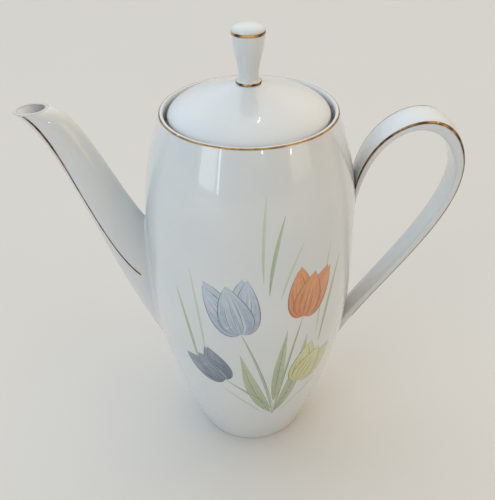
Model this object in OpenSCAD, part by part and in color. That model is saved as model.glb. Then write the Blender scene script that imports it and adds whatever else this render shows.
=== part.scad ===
// Tall porcelain coffee pot: a waisted body of revolution with a curved spout, a strap handle and a
// lift-off lid seated in a gallery inside the rim. Lines of gilding trim the rim, spout, handle and knob.
// Frame: origin on the table plane at the foot's centre, +Z up, spout towards -X, handle towards +X.

/* [Body] */
// Height of the gilded outer edge of the rim above the table
body_height = 207.7; // [180:0.1:230]
// Outer radius of the rim at that height
rim_radius = 46; // [42:0.1:50]
// Largest outer radius of the body
belly_radius = 57.5; // [54:0.1:62]
// Height of the largest radius
belly_height = 127.2; // [110:0.1:140]
// Outer radius of the foot ring on the table
foot_radius = 31.2; // [28:0.1:36]
// Outward lean of the wall just above the foot, from vertical
foot_lean = 22.4; // [15:0.1:30]
// Reach of the foot's lean up the wall
foot_reach = 66.8; // [50:0.1:75]
// Reach of the upright belly downwards
belly_drop = 28.8; // [20:0.1:45]
// Reach of the upright belly upwards
belly_rise = 33.7; // [20:0.1:40]
// Inward lean of the wall just below the rim, from vertical
rim_lean = 18.7; // [12:0.1:24]
// Reach of the rim's lean down the wall
rim_reach = 35.9; // [20:0.1:40]
// Thickness of the body wall
body_wall = 3.2; // [2.6:0.1:4]
// Height of the inside floor above the table
floor_height = 6.4; // [5:0.1:8]
// Width of the foot ring that stands on the table
foot_ring_width = 2.8; // [2:0.1:4]
// Depth of the recess inside the foot ring
foot_recess = 2.2; // [1:0.1:3]

/* [Rim and gallery] */
// Radius of the rounding over the top of the rim
rim_round = 1.4; // [1:0.05:1.5]
// Depth of the softer rounding on the inside of the rim
rim_inside = 3; // [1.6:0.1:3.4]
// Depth below the rim's edge of the ledge that the lid rests on
ledge_drop = 5.6; // [4.4:0.1:6.6]
// Radius of the mouth inside the ledge
mouth_radius = 38.2; // [36:0.1:39.5]
// Thickness of the ledge at the mouth
ledge_thickness = 3.8; // [3:0.1:5]

/* [Lid] */
// Running gap between the lid's edge and the inside of the rim
lid_gap = 1.55; // [1.2:0.05:2.2]
// Height of the lid's upright edge above its seat
lid_edge = 4.7; // [4:0.1:5.4]
// Height of the knob's seat above the lid's seat
lid_rise = 20.3; // [18.5:0.1:22]
// Thickness of the lid's shell
lid_wall = 3; // [2.6:0.1:3.4]
// Running gap between the lid's collar and the mouth
collar_gap = 0.8; // [0.5:0.1:1.2]
// Depth of the collar below the seat
collar_depth = 11.5; // [8:0.5:14]
// Thickness of the collar
collar_wall = 2.8; // [2.4:0.1:3.2]

/* [Knob] */
// Height of the knob above its seat
knob_height = 29.5; // [26:0.1:33]
// Largest radius of the knob, at its gilt band
knob_radius = 8.4; // [7.6:0.1:9.2]
// Radius of the knob's waist
knob_waist = 5.2; // [4.6:0.1:5.8]
// Rise of the knob's low top above its largest radius
knob_crown = 3; // [2.4:0.1:3.6]
// Radius of the knob's foot on the lid, inside its bead
knob_foot = 6; // [5.6:0.05:6.8]
// Radius of the gilded bead round the knob's foot
foot_bead = 0.55; // [0.4:0.05:0.7]

/* [Spout] */
// Reach of the fillet round the spout's root
spout_fillet_reach = 5; // [2:0.1:7]
// Height at which the top of the spout leaves the body
spout_top_root = 144.8; // [135:0.1:155]
// Height at which the underside of the spout leaves the body
spout_low_root = 56.8; // [50:0.1:66]
// Reach of the spout's tip beyond the belly
spout_reach = 61; // [50:0.1:72]
// Height of the spout's tip above the rim's edge
tip_rise = 1.2; // [-4:0.1:8]
// Length of the oblique lip, seen from above
lip_length = 18.3; // [15:0.1:22]
// Rise of the lip from its tip to its heel
lip_rise = 4.6; // [2:0.1:7]
// Lean of the spout's top line where it leaves the body, from vertical
top_lean = 32.9; // [26:0.1:38]
// Reach of that lean along the top line
top_lean_reach = 31.7; // [24:0.1:38]
// Slope of the top line at the lip, from level
heel_slope = 30.8; // [24:0.1:38]
// Reach of that slope along the top line
heel_reach = 15.2; // [10:0.1:20]
// Lean of the spout's underside where it leaves the body, from vertical
low_lean = 29; // [24:0.1:32]
// Reach of that lean along the underside
low_lean_reach = 68.6; // [60:0.1:76]
// Slope of the underside at the tip, from level
tip_slope = 22.5; // [16:0.1:30]
// Reach of that slope along the underside
tip_reach = 30; // [24:0.1:36]
// Half-width of the spout at its root
spout_root_half = 10.8; // [9:0.1:12]
// Half-width of the spout at its lip
spout_lip_half = 6; // [5:0.1:7]
// Narrowing of the root towards its top
spout_skew = 0.3; // [0.1:0.05:0.4]
// Wall of the spout at the root, along the root's height
spout_root_wall = 5.6; // [5:0.1:6.5]
// Wall of the spout at the lip, along the lip's length
spout_lip_wall = 1.9; // [1.6:0.1:2.4]
// Side wall of the spout at its root
spout_side_wall = 2.8; // [2.2:0.1:3.2]
// Side wall of the spout at its lip
spout_lip_side = 1.2; // [1:0.1:1.6]
// Height of the rounded crest around the lip
lip_crest = 0.7; // [0.4:0.1:1]
// Radius of each strainer hole through the body behind the spout
strainer_radius = 2.4; // [2:0.1:2.8]
// Height of the lowest row of strainer holes
strainer_low = 84; // [80:1:90]
// Height from one row of strainer holes to the next
strainer_pitch = 8; // [6:0.5:9]
// Sideways offset of the paired strainer holes
strainer_offset = 3.5; // [3:0.1:4]

/* [Handle] */
// Height of the outer face where the strap leaves the body near the rim
strap_top_root = 160.5; // [152:0.1:170]
// Depth of the upper root below its outer face
strap_top_depth = 10.6; // [8:0.1:14]
// Height of the outer face where the strap runs out on the body below
strap_low_root = 53.4; // [48:0.1:60]
// Depth of the lower root, up to the strap's inner face
strap_low_depth = 18.5; // [14:0.1:22]
// Drop of the strap's highest line below the rim's edge
strap_drop = 4.6; // [2:0.1:12]
// Distance of that highest line beyond the belly
strap_crest_reach = 33.9; // [30:0.1:40]
// Distance of the strap's farthest line beyond the belly
strap_reach = 55.8; // [50:0.1:62]
// Drop from the highest line to the farthest one
strap_turn = 29.7; // [22:0.1:34]
// Thickness of the strap between its corner lines
strap_thick = 5; // [4.2:0.1:6]
// Lag of the inner face's turning points behind the outer ones
strap_lag = 4.2; // [3:0.1:6]
// Rise of the outer face from its upper root, from level
outer_rise = 88.6; // [82:0.1:92]
// Rise of the inner face from its upper root, from level
inner_rise = 83.9; // [78:0.1:90]
// Slope of the outer face at its lower root, from level
outer_fall = 69.4; // [64:0.1:76]
// Slope of the inner face at its lower root, from level
inner_fall = 60.1; // [54:0.1:68]
// Width of the strap at its upper root
strap_root_width = 17; // [15:0.1:19]
// Width of the strap over its top, under the thumb
strap_top_width = 22.3; // [19:0.1:24]
// Width of the strap at its farthest line
strap_grip_width = 18.4; // [16:0.1:21]
// Width of the strap at its lower root
strap_low_width = 15; // [13:0.1:17]
// Reach of the fillet round the strap's roots
strap_fillet_reach = 3; // [1:0.1:4]
// Crown of the strap's outer face
strap_crown = 0.9; // [0.3:0.1:1.4]
// Extra thickness that carries the crowned face past the corner line
strap_lift = 0.3; // [0:0.05:0.5]
// Squareness of the strap's section, lower is squarer
strap_power = 0.4; // [0.35:0.01:0.6]

/* [Gilding] */
// Height of a drawn line of gilding over the glaze
gilt = 0.12; // [0.1:0.01:0.2]
// Clearance under a line of gilding
gilt_gap = 0.03; // [0.02:0.01:0.05]
// Depth to which spout and handle are luted into the body wall
lute_depth = 0.8; // [0.5:0.1:1.2]
// Height of the knob's gilt band
band_height = 1.5; // [1:0.1:2]
// Width of the drawn line along each side of the spout
spout_line_width = 1.4; // [0.9:0.1:2]

/* [Hidden] */
porcelain = [0.93, 0.93, 0.91];
gilding = [0.83, 0.66, 0.33];
turn_fn = 144;
profile_steps = 22;
cut = 1;
lid_radius = rim_radius - rim_round * (1 + cos(rim_lean)) - lid_gap;
rim_centre = [rim_radius - rim_round * cos(rim_lean), body_height - rim_round * sin(rim_lean)];
gallery_radius = rim_centre[0] - rim_round;
ledge_height = body_height - ledge_drop;
knob_seat = ledge_height + lid_rise;
seat_gap = 0.05;

// A point on a cubic curve
function cubic(a, b, c, d, t) =
    pow(1 - t, 3) * a + 3 * pow(1 - t, 2) * t * b + 3 * (1 - t) * t * t * c + t * t * t * d;
// Direction across a cubic curve, turned to its right
function across(a, b, c, d, t) =
    let (v = (1 - t) * (1 - t) * (b - a) + 2 * (1 - t) * t * (c - b) + t * t * (d - c))
    [v[1], -v[0]] / norm(v);
// Steps from 0 to 1
function steps(n, from = 0) = [for (i = [from:n]) i / n];
// Sign of a number, never zero
function side(v) = v < 0 ? -1 : 1;

// The two curves of the body's outside, each as [radius, height]
wall_low = [[foot_radius, 0],
            [foot_radius + foot_reach * sin(foot_lean), foot_reach * cos(foot_lean)],
            [belly_radius, belly_height - belly_drop],
            [belly_radius, belly_height]];
wall_high = [[belly_radius, belly_height],
             [belly_radius, belly_height + belly_rise],
             [rim_radius + rim_reach * sin(rim_lean), body_height - rim_reach * cos(rim_lean)],
             [rim_radius, body_height]];
function on_curve(q, t) = cubic(q[0], q[1], q[2], q[3], t);
function off_curve(q, t, d) = on_curve(q, t) + d * across(q[0], q[1], q[2], q[3], t);
body_outside = concat([for (t = steps(profile_steps)) on_curve(wall_low, t)],
                      [for (t = steps(profile_steps, 1)) on_curve(wall_high, t)]);
radius_table = [for (p = body_outside) [p[1], p[0]]];
// Outer radius of the body at a height
function body_radius(z) = lookup(z, radius_table);
// Points on the rounding over the rim, from one angle to another
function rim_arc(from, to, n, grow = 0) =
    [for (i = [0:n]) let (a = from + (to - from) * i / n)
        rim_centre + (rim_round + grow) * [cos(a), sin(a)]];
// Points on the longer rounding from the top of the rim to the gallery's wall
function rim_inner(n) = [for (i = [1:n]) let (a = 90 + 90 * i / n)
    rim_centre + [rim_round * cos(a), rim_round - rim_inside * (1 - sin(a))]];
// A point at a depth below the body's outer skin, on the side given
function on_body(y, z, way, depth = lute_depth) =
    [way * sqrt(pow(body_radius(z) - depth, 2) - y * y), y, z];
// A point of the fillet between the body and a root, at a place t from the body to the skin that it
// runs into: bare is the root's own point there, and run the way its outline goes
function fillet_point(bare, run, reach, way, skin, t, depth = 0.05) =
    let (out = [-run[2], run[1]] / norm([run[1], run[2]]),
        edge = on_body(bare[1] + reach * out[0], bare[2] + reach * out[1], way, depth),
        corner = on_body(bare[1], bare[2], way, 0))
    (1 - t) * (1 - t) * edge + 2 * t * (1 - t) * corner + t * t * skin;
// Places of the fillet's rings
fillet_steps = [0, 0.25, 0.5, 0.75];

module pot_body() {
    inside_low = [for (t = steps(profile_steps)) if (t > 0.08) off_curve(wall_low, t, -body_wall)];
    inside_high = [for (t = steps(profile_steps, 1)) if (t < 0.82)
        off_curve(wall_high, t, -body_wall)];
    first = inside_low[0];
    under_ledge = [mouth_radius, ledge_height - ledge_thickness];
    last = inside_high[len(inside_high) - 1];
    floor_corner = [for (t = steps(8)) if (t < 1) cubic([first[0] - 13, floor_height],
        [first[0] - 6, floor_height], first - [2.2, 5.2], first, t)];
    shoulder = [for (t = steps(8, 1)) cubic(last, last + [-1.6, 4.6], under_ledge + [5, -2.6],
        under_ledge, t)];
    foot_inner = foot_radius - foot_ring_width;
    color(porcelain)
    difference() {
        rotate_extrude($fn = turn_fn)
        polygon(concat([[0, foot_recess]], [[foot_inner - 1.2, foot_recess]],
            [[foot_inner, 0.5], [foot_inner + 0.5, 0], [foot_radius - 0.5, 0]],
            [for (i = [1:len(body_outside) - 1]) body_outside[i]],
            rim_arc(rim_lean + 16, 90, 5), rim_inner(7),
            [[gallery_radius, ledge_height], [mouth_radius, ledge_height]],
            [for (i = [len(shoulder) - 1:-1:0]) shoulder[i]],
            [for (i = [len(inside_high) - 1:-1:0]) inside_high[i]],
            [for (i = [len(inside_low) - 1:-1:0]) inside_low[i]],
            [for (i = [len(floor_corner) - 1:-1:0]) floor_corner[i]],
            [[0, floor_height]]));
        for (row = [0:5])
        for (y = row % 2 == 0 ? [-strainer_offset, strainer_offset] : [0])
        translate([-belly_radius - cut, y, strainer_low + row * strainer_pitch])
        rotate([0, 90, 0])
        cylinder(r = strainer_radius, h = 3 * body_wall + 2 * cut, $fn = 24);
    }
}

// Closed loft through rings of equal length that joins its last ring to its first
module ring_loft(rings) {
    n = len(rings[0]);
    m = len(rings);
    polyhedron(points = [for (r = rings) for (p = r) p],
        faces = [for (i = [0:m - 1]) for (j = [0:n - 1])
            let (a = i * n + j, b = i * n + (j + 1) % n,
                c = ((i + 1) % m) * n + (j + 1) % n, d = ((i + 1) % m) * n + j)
            each [[a, d, b], [b, d, c]]]);
}

// Closed loft through rings of equal length with a fan over each end
module capped_loft(rings, start, end) {
    n = len(rings[0]);
    m = len(rings);
    polyhedron(points = concat([for (r = rings) for (p = r) p], [start, end]),
        faces = concat(
            [for (i = [0:m - 2]) for (j = [0:n - 1])
                let (a = i * n + j, b = i * n + (j + 1) % n,
                    c = (i + 1) * n + (j + 1) % n, d = (i + 1) * n + j)
                each [[a, d, b], [b, d, c]]],
            [for (j = [0:n - 1]) [m * n, j, (j + 1) % n]],
            [for (j = [0:n - 1]) [m * n + 1, (m - 1) * n + (j + 1) % n, (m - 1) * n + j]]));
}

// A vector of a length at an angle above level
function ray(length, angle) = length * [cos(angle), sin(angle)];
// A point of the body's outline at a height, on the side given
function on_side(z, way) = [way * (body_radius(z) - lute_depth), z];

// Spout: its top and bottom lines in the plane of symmetry, as [x, z], from body to lip
tip = [-belly_radius - spout_reach, body_height + tip_rise];
heel = tip + [lip_length, lip_rise];
spout_top = [on_side(spout_top_root, -1),
             on_side(spout_top_root, -1) + ray(top_lean_reach, 90 + top_lean),
             heel - ray(heel_reach, 180 - heel_slope),
             heel];
spout_bottom = [on_side(spout_low_root, -1),
                on_side(spout_low_root, -1) + ray(low_lean_reach, 90 + low_lean),
                tip - ray(tip_reach, 180 - tip_slope),
                tip];
spout_steps = 40;
root_reach = 0.35;
// Share by which the wall is thicker below than above, measured along the section at the root
wall_skew = 0.3;
// Angle of the gilt line on the spout's side at a place along it, from the top
function line_angle(u) = 78 + 52 * sin(90 * min(u / 0.6, 1)) - 18 * max(0, (u - 0.6) / 0.4);
// The angles of one ring, with the edges of both gilt lines among them
function ring_angles(u) =
    let (g = line_angle(u), w = line_half_angle(u),
        right = concat([for (i = [0:5]) (g - w) * i / 6], [g - w, g, g + w],
            [for (i = [1:4]) g + w + (180 - g - w) * i / 5]))
    concat(right, [180], [for (i = [len(right) - 1:-1:1]) 360 - right[i]]);
// Half the angle that a line of gilding covers, so that it stays as wide all along
function line_half_angle(u) = spout_line_width * 90 / PI / spout_half(u);
// Half-height of the spout's section, along the section
function spout_half(u) = norm(on_curve(spout_top, u) - on_curve(spout_bottom, u)) / 2;
// Half-width of the spout
function spout_width(u) = spout_lip_half + (spout_root_half - spout_lip_half) * pow(1 - u, 1.17);
// A point of the spout's skin before its root is laid on the body; along and wide take wall off
function spout_free(u, a, along, wide) =
    let (top = on_curve(spout_top, u), low = on_curve(spout_bottom, u), half = (top - low) / 2,
        wall = along * (1 - wall_skew * (1 - u) * cos(a)),
        s = (top + low) / 2 + (1 - wall / norm(half)) * cos(a) * half,
        y = (spout_width(u) - wide) * sin(a) * (1 - spout_skew * (1 - u) * cos(a)))
    [s[0], y, s[1]];
// The same point with the root laid on the body and the next third drawn after it
function spout_point(u, a, along, wide) =
    let (foot = spout_free(0, a, along, wide), hold = pow(max(0, 1 - u / root_reach), 3))
    spout_free(u, a, along, wide) + hold * (on_body(foot[1], foot[2], -1) - foot);
function spout_ring(u, along, wide) = [for (a = ring_angles(u)) spout_point(u, a, along, wide)];
function wall_along(u) = spout_root_wall + (spout_lip_wall - spout_root_wall) * pow(u, 0.8);
function wall_wide(u) = spout_side_wall + (spout_lip_side - spout_side_wall) * u;
lip_line = (spout_top[3] - spout_bottom[3]) / norm(spout_top[3] - spout_bottom[3]);
lip_up = [-lip_line[1], 0, lip_line[0]];
// A ring over the lip's rounded crest, at an angle from 0 outside to 180 inside
function crest_ring(a, grow = 0) =
    let (s = (1 - cos(a)) / 2)
    [for (p = spout_ring(1, s * spout_lip_wall - grow * cos(a), s * spout_lip_side - grow * cos(a)))
        p + (lip_crest + grow) * sin(a) * lip_up];

// One ring of the fillet round the spout's root
function spout_fillet(t, depth = 0.05) =
    [for (a = ring_angles(0)) fillet_point(spout_free(0, a, 0, 0),
        spout_free(0, a + 3, 0, 0) - spout_free(0, a - 3, 0, 0), spout_fillet_reach, -1,
        spout_point(2 / spout_steps, a, 0, 0), t, depth)];

module spout() {
    color(porcelain)
    ring_loft(concat(
        [spout_fillet(0, lute_depth)],
        [for (t = fillet_steps) spout_fillet(t)],
        [for (u = steps(spout_steps, 2)) spout_ring(u, 0, 0)],
        [for (a = [45, 90, 135]) crest_ring(a)],
        [for (i = [spout_steps:-1:0]) let (u = i / spout_steps)
            spout_ring(u, wall_along(u), wall_wide(u))]));
}

module spout_lip_gilt() {
    outer = [for (a = [0:30:180]) crest_ring(a, gilt)];
    inner = [for (a = [180:-45:0]) crest_ring(a)];
    color(gilding)
    ring_loft(concat(outer, inner));
}

// Line of gilding along one side of the spout; way is 1 for the front (-Y), -1 for the back
module spout_line(way) {
    from = 5;
    rings = [for (i = [from:spout_steps]) let (u = min(i / spout_steps, 0.99), g = line_angle(u),
        w = line_half_angle(u),
        skin = [for (a = [g - w, g, g + w]) spout_point(u, a, -gilt_gap * 1.6, -gilt_gap)],
        proud = [for (a = [g + w, g, g - w]) spout_point(u, a, -gilt * 1.6, -gilt)])
        [for (p = concat(skin, proud)) [p[0], -way * p[1], p[2]]]];
    first = rings[0];
    last = rings[len(rings) - 1];
    color(gilding)
    capped_loft(way > 0 ? rings : [for (r = rings) [for (i = [len(r) - 1:-1:0]) r[i]]],
        (first[1] + first[4]) / 2, (last[1] + last[4]) / 2);
}

module spout_line_front() spout_line(1);

module spout_line_back() spout_line(-1);

// Handle: its outer and inner lines in the plane of symmetry, as [x, z], each from the upper root over
// the highest line and the farthest line down to the lower root
crest = [belly_radius + strap_crest_reach, body_height - strap_drop];
grip = [belly_radius + strap_reach, crest[1] - strap_turn];
crest_in = crest - [strap_lag + 0.6, strap_thick + 0.4];
grip_in = grip - [strap_thick - 0.4, strap_lag - 0.6];
outer_arms = [25.2, 17.3, 18, 7.7, 36.8, 36.8];
inner_arms = [33.3, 12.2, 15.8, 9.4, 26.9, 25.8];
// The three runs of one line through its four stations
function strap_line(root, high, far, low, rise, fall, arms) =
    [[root, root + ray(arms[0], rise), high - [arms[1], 0], high],
     [high, high + [arms[2], 0], far + [0, arms[3]], far],
     [far, far - [0, arms[4]], low + ray(arms[5], fall), low]];
strap_out = strap_line(on_side(strap_top_root, 1), crest, grip,
    on_side(strap_low_root, 1), outer_rise, outer_fall, outer_arms);
strap_in = strap_line(on_side(strap_top_root - strap_top_depth, 1), crest_in, grip_in,
    on_side(strap_low_root + strap_low_depth, 1), inner_rise, inner_fall, inner_arms);
strap_steps = [16, 14, 26];
strap_angles = [0, 14, 22, 32, 45, 62, 76, 84, 88];
line_from = 1;
line_to = 4;
// The angles around a full section, starting at the front edge
section_angles = concat(strap_angles, [90], [for (i = [8:-1:0]) 180 - strap_angles[i]],
    [for (i = [1:8]) 180 + strap_angles[i]], [270], [for (i = [8:-1:1]) 360 - strap_angles[i]]);
function power(v) = side(v) * pow(abs(v), strap_power);
// Width of the strap at a place along one of its three runs
function strap_breadth(run, t) =
    run == 0 ? strap_root_width + (strap_top_width - strap_root_width) * pow(sin(90 * t), 1.8)
    : run == 1 ? strap_top_width + (strap_grip_width - strap_top_width) * pow(t, 2.5)
    : strap_low_width + (strap_grip_width - strap_low_width) * pow(1 - t, 2.5);
// A point of the strap's skin before its roots are laid on the body; grow lifts it for the gilding
function strap_free(run, t, a, grow = 0) =
    let (o = on_curve(strap_out[run], t), n = on_curve(strap_in[run], t), thick = norm(o - n) / 2,
        half = strap_breadth(run, t) / 2 + grow, y = -half * power(cos(a)), outer = sin(a) > 0,
        h = (thick + (outer ? strap_lift : 0) + grow) * power(sin(a))
            + sin(a) * strap_crown * (outer ? 1 : 0.3) * (1 - pow(y / half, 2)),
        p = (o + n) / 2 + h * (o - n) / norm(o - n))
    [p[0], y, p[1]];
// How much of the root's shape is left at a place along the strap: all at its ends, then none
function strap_hold(run, t) =
    run == 0 ? pow(max(0, 1 - t / 0.35), 2) : run == 1 ? 0 : pow(max(0, (t - 0.85) / 0.15), 2);
// The same point with the roots laid on the body
function strap_point(run, t, a, grow = 0) =
    let (end = strap_free(run, run == 0 ? 0 : 1, a), hold = strap_hold(run, t),
        free = strap_free(run, t, a, grow))
    hold > 0 ? free + hold * (on_body(end[1], end[2], 1) - end) : free;
strap_places = [for (run = [0:2]) for (i = [run == 0 ? 0 : 1:strap_steps[run]])
    [run, i / strap_steps[run]]];

// One ring of the fillet round the strap's upper root, where it fades over the outer face, which leaves
// the body along its wall, or round its lower root
function strap_fillet(low, t, depth = 0.05) =
    let (run = low ? 2 : 0, end = low ? 1 : 0, next = strap_places[low ? len(strap_places) - 2 : 1])
    [for (a = section_angles) fillet_point(strap_free(run, end, a), (low ? -1 : 1)
        * (strap_free(run, end, a + 3) - strap_free(run, end, a - 3)),
        strap_fillet_reach * (low ? 1 : pow((1 - sin(a)) / 2, 2)), 1,
        strap_point(next[0], next[1], a), t, depth)];

module handle() {
    last = len(strap_places) - 2;
    rings = concat(
        [strap_fillet(false, 0, lute_depth)],
        [for (t = fillet_steps) strap_fillet(false, t)],
        [for (i = [1:last]) let (s = strap_places[i])
            [for (a = section_angles) strap_point(s[0], s[1], a)]],
        [for (i = [3:-1:0]) strap_fillet(true, fillet_steps[i])],
        [strap_fillet(true, 0, lute_depth)]);
    turned = [for (r = rings) [for (i = [len(r) - 1:-1:0]) r[i]]];
    top = (strap_out[0][0] + strap_in[0][0]) / 2;
    low = (strap_out[2][3] + strap_in[2][3]) / 2;
    color(porcelain)
    capped_loft(turned, on_body(0, top[1], 1), on_body(0, low[1], 1));
}

// Line of gilding along one outer corner of the strap; way is 1 for the front (-Y), -1 for the back
module handle_line(way) {
    angles = [for (i = [line_from:line_to]) strap_angles[i]];
    count = len(strap_places);
    rings = [for (i = [1:count - 6]) let (s = strap_places[i])
        [for (p = concat([for (a = angles) strap_point(s[0], s[1], a, gilt_gap)],
            [for (j = [len(angles) - 1:-1:0]) strap_point(s[0], s[1], angles[j], gilt)]))
            [p[0], way * p[1], p[2]]]];
    first = rings[0];
    last = rings[len(rings) - 1];
    color(gilding)
    capped_loft(way > 0 ? rings : [for (r = rings) [for (i = [len(r) - 1:-1:0]) r[i]]],
        (first[1] + first[6]) / 2, (last[1] + last[6]) / 2);
}

module handle_line_front() handle_line(1);

module handle_line_back() handle_line(-1);

module rim_gilt() {
    color(gilding)
    rotate_extrude($fn = turn_fn)
    polygon(concat(rim_arc(rim_lean + 3, 95, 7, gilt_gap), [for (i = [7:-1:0])
        rim_arc(rim_lean + 3, 95, 7, gilt)[i]]));
}

// The lid's dome as [radius, height], from its edge to the knob's seat
dome = [[lid_radius, ledge_height + lid_edge],
        [lid_radius - 3.1, ledge_height + lid_edge + 7.4],
        [18, knob_seat - 5],
        [knob_foot + 0.6, knob_seat]];

module lid() {
    seat = ledge_height + seat_gap;
    collar_out = mouth_radius - collar_gap;
    collar_in = collar_out - collar_wall;
    under = [for (t = steps(14)) let (p = off_curve(dome, t, -lid_wall)) if (p[0] < collar_in - 2) p];
    color(porcelain)
    rotate_extrude($fn = turn_fn)
    polygon(concat([[0, knob_seat - lid_wall]], [for (i = [len(under) - 1:-1:0]) under[i]],
        [[collar_in, seat - 1], [collar_in, seat - collar_depth + 1],
         [collar_in + 0.7, seat - collar_depth], [collar_out - 0.7, seat - collar_depth],
         [collar_out, seat - collar_depth + 1], [collar_out, seat],
         [lid_radius - 0.7, seat], [lid_radius, seat + 0.7]],
        [for (t = steps(22)) on_curve(dome, t)], [[0, knob_seat]]));
}

// The knob's outline as [radius, height above its seat]
knob_side = [[knob_waist, 5.8], [knob_waist + 0.35, 11],
             [knob_radius - 0.1, knob_height - knob_crown - 9.4], [knob_radius, knob_height - knob_crown]];
band_low = knob_height - knob_crown - band_height - 0.05;
crown_power = 0.83;
function knob_outline() = concat([for (t = steps(18)) on_curve(knob_side, t)],
    [for (a = [9:9:81]) [knob_radius * pow(cos(a), crown_power),
        knob_height - knob_crown * (1 - pow(sin(a), crown_power))]]);
knob_table = [for (t = steps(18)) let (p = on_curve(knob_side, t)) [p[1], p[0]]];
function knob_at(z) = lookup(z, knob_table);
// Points up the bead round the knob's foot, as far each way from level as the angle given
function bead_arc(reach, n, grow = 0) = [for (t = steps(n)) let (a = (2 * t - 1) * reach)
    [knob_foot, 1.3 * foot_bead] + (foot_bead + grow) * [cos(a), sin(a)]];

module knob() {
    color(porcelain)
    translate([0, 0, knob_seat])
    rotate_extrude($fn = 96)
    polygon(concat([[0, 0], [knob_foot, 0]], bead_arc(70, 7),
        [for (t = steps(6)) if (t < 1) cubic([knob_foot - 0.2, 3 * foot_bead], [knob_foot - 0.75, 2.2],
            [knob_waist, 3.7], [knob_waist, 5.8], t)],
        knob_outline(), [[0, knob_height]]));
}

module knob_band_gilt() {
    rows = [for (t = steps(4)) band_low + t * band_height];
    color(gilding)
    translate([0, 0, knob_seat])
    rotate_extrude($fn = 96)
    polygon(concat([for (z = rows) [knob_at(z) + gilt_gap, z]],
        [for (i = [len(rows) - 1:-1:0]) [knob_at(rows[i]) + gilt, rows[i]]]));
}

module knob_foot_gilt() {
    color(gilding)
    translate([0, 0, knob_seat])
    rotate_extrude($fn = 96)
    polygon(concat(bead_arc(60, 6, gilt_gap), [for (i = [6:-1:0]) bead_arc(60, 6, gilt)[i]]));
}

pot_body();
spout();
handle();
lid();
knob();
rim_gilt();
knob_band_gilt();
knob_foot_gilt();
spout_lip_gilt();
spout_line_front();
spout_line_back();
handle_line_front();
handle_line_back();
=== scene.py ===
"""A tall coffee pot of glazed porcelain, with lines of gilding and a printed spray, dressed on its frame.

Sizes are in millimetres, unless a class or a function says otherwise, and scales of noises are per metre.
The pot stands on the floor at z = 0, with its spout towards -X, its handle towards +X and its printed side
towards -Y.
"""

import logging
import math
from collections.abc import Callable, Sequence
from dataclasses import dataclass
from enum import Enum

import bpy
from mathutils import Matrix, Vector

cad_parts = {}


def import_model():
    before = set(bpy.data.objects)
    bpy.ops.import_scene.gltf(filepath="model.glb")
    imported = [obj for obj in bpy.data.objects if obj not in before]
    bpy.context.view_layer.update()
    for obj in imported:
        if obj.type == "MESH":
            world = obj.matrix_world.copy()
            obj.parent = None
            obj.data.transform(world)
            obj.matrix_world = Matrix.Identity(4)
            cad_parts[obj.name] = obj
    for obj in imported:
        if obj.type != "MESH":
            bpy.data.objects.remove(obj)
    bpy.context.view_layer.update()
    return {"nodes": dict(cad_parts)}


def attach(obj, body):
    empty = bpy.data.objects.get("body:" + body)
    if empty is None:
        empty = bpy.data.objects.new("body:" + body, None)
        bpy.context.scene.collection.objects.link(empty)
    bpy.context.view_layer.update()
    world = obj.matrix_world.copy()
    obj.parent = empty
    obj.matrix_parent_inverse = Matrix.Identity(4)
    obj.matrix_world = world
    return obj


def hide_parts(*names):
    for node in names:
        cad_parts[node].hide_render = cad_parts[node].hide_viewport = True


LOG = logging.getLogger("coffee_pot")
MM = 0.001
Pair = tuple[float, float]
Colour = tuple[float, float, float]
Socket = bpy.types.NodeSocket
Value = float | Colour | Socket

# The colour sockets of a Mix node, which share their names with its other sockets.
MIX_FIRST, MIX_SECOND, MIX_RESULT = 6, 7, 2
# Where nearly all of a noise's values lie.
NOISE_SPAN = (0.3, 0.7)
# How far two loose triangles may bend or skew and still be merged into a quad.
QUAD_ANGLE = math.radians(70)


class Body(Enum):
    """The moving bodies that a piece can ride on."""

    POT = "pot"
    LID = "lid"


class Slot(Enum):
    """The material slots of the part."""

    PORCELAIN = "porcelain"
    GILDING = "gilding"


# ---------------------------------------------------------------------------------------------------
# Curves
# ---------------------------------------------------------------------------------------------------


@dataclass(frozen=True)
class Curve:
    """A cubic curve through four control points, as radius and height in mm."""

    a: Pair
    b: Pair
    c: Pair
    d: Pair

    def at(self, t: float) -> Pair:
        """Point of the curve.

        Args:
            t: Place along the curve, from 0 to 1.

        Returns:
            The point.
        """
        s = 1 - t
        w = (s * s * s, 3 * s * s * t, 3 * s * t * t, t * t * t)
        rows = (self.a, self.b, self.c, self.d)
        return (
            sum(k * p[0] for k, p in zip(w, rows)),
            sum(k * p[1] for k, p in zip(w, rows)),
        )

    def beside(self, t: float, gap: float) -> Pair:
        """Point at a distance to the right of the curve.

        Args:
            t: Place along the curve, from 0 to 1.
            gap: Distance to the right of the way that the curve runs.

        Returns:
            The point.
        """
        s = 1 - t
        w = (s * s, 2 * s * t, t * t)
        legs = ((self.a, self.b), (self.b, self.c), (self.c, self.d))
        x = sum(k * (q[0] - p[0]) for k, (p, q) in zip(w, legs))
        y = sum(k * (q[1] - p[1]) for k, (p, q) in zip(w, legs))
        length = math.hypot(x, y)
        here = self.at(t)
        return here[0] + gap * y / length, here[1] - gap * x / length

    def run(self, count: int, gap: float = 0.0, first: float = 0.0, last: float = 1.0) -> list[Pair]:
        """Points along the curve.

        Args:
            count: Number of steps.
            gap: Distance to the right of the curve.
            first: Place of the first point.
            last: Place of the last point.

        Returns:
            The points, both ends among them.
        """
        places = [first + (last - first) * i / count for i in range(count + 1)]
        return [self.beside(t, gap) if gap else self.at(t) for t in places]


def turning_place(before: Callable[[float], bool], halvings: int = 30) -> float:
    """Finds the place between 0 and 1 up to which a test holds.

    Args:
        before: The test, true before that place and false after it.
        halvings: How often the span that holds the place is halved.

    Returns:
        The place.
    """
    first, last = 0.0, 1.0
    for _ in range(halvings):
        middle = (first + last) / 2
        if before(middle):
            first = middle
        else:
            last = middle
    return (first + last) / 2


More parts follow.
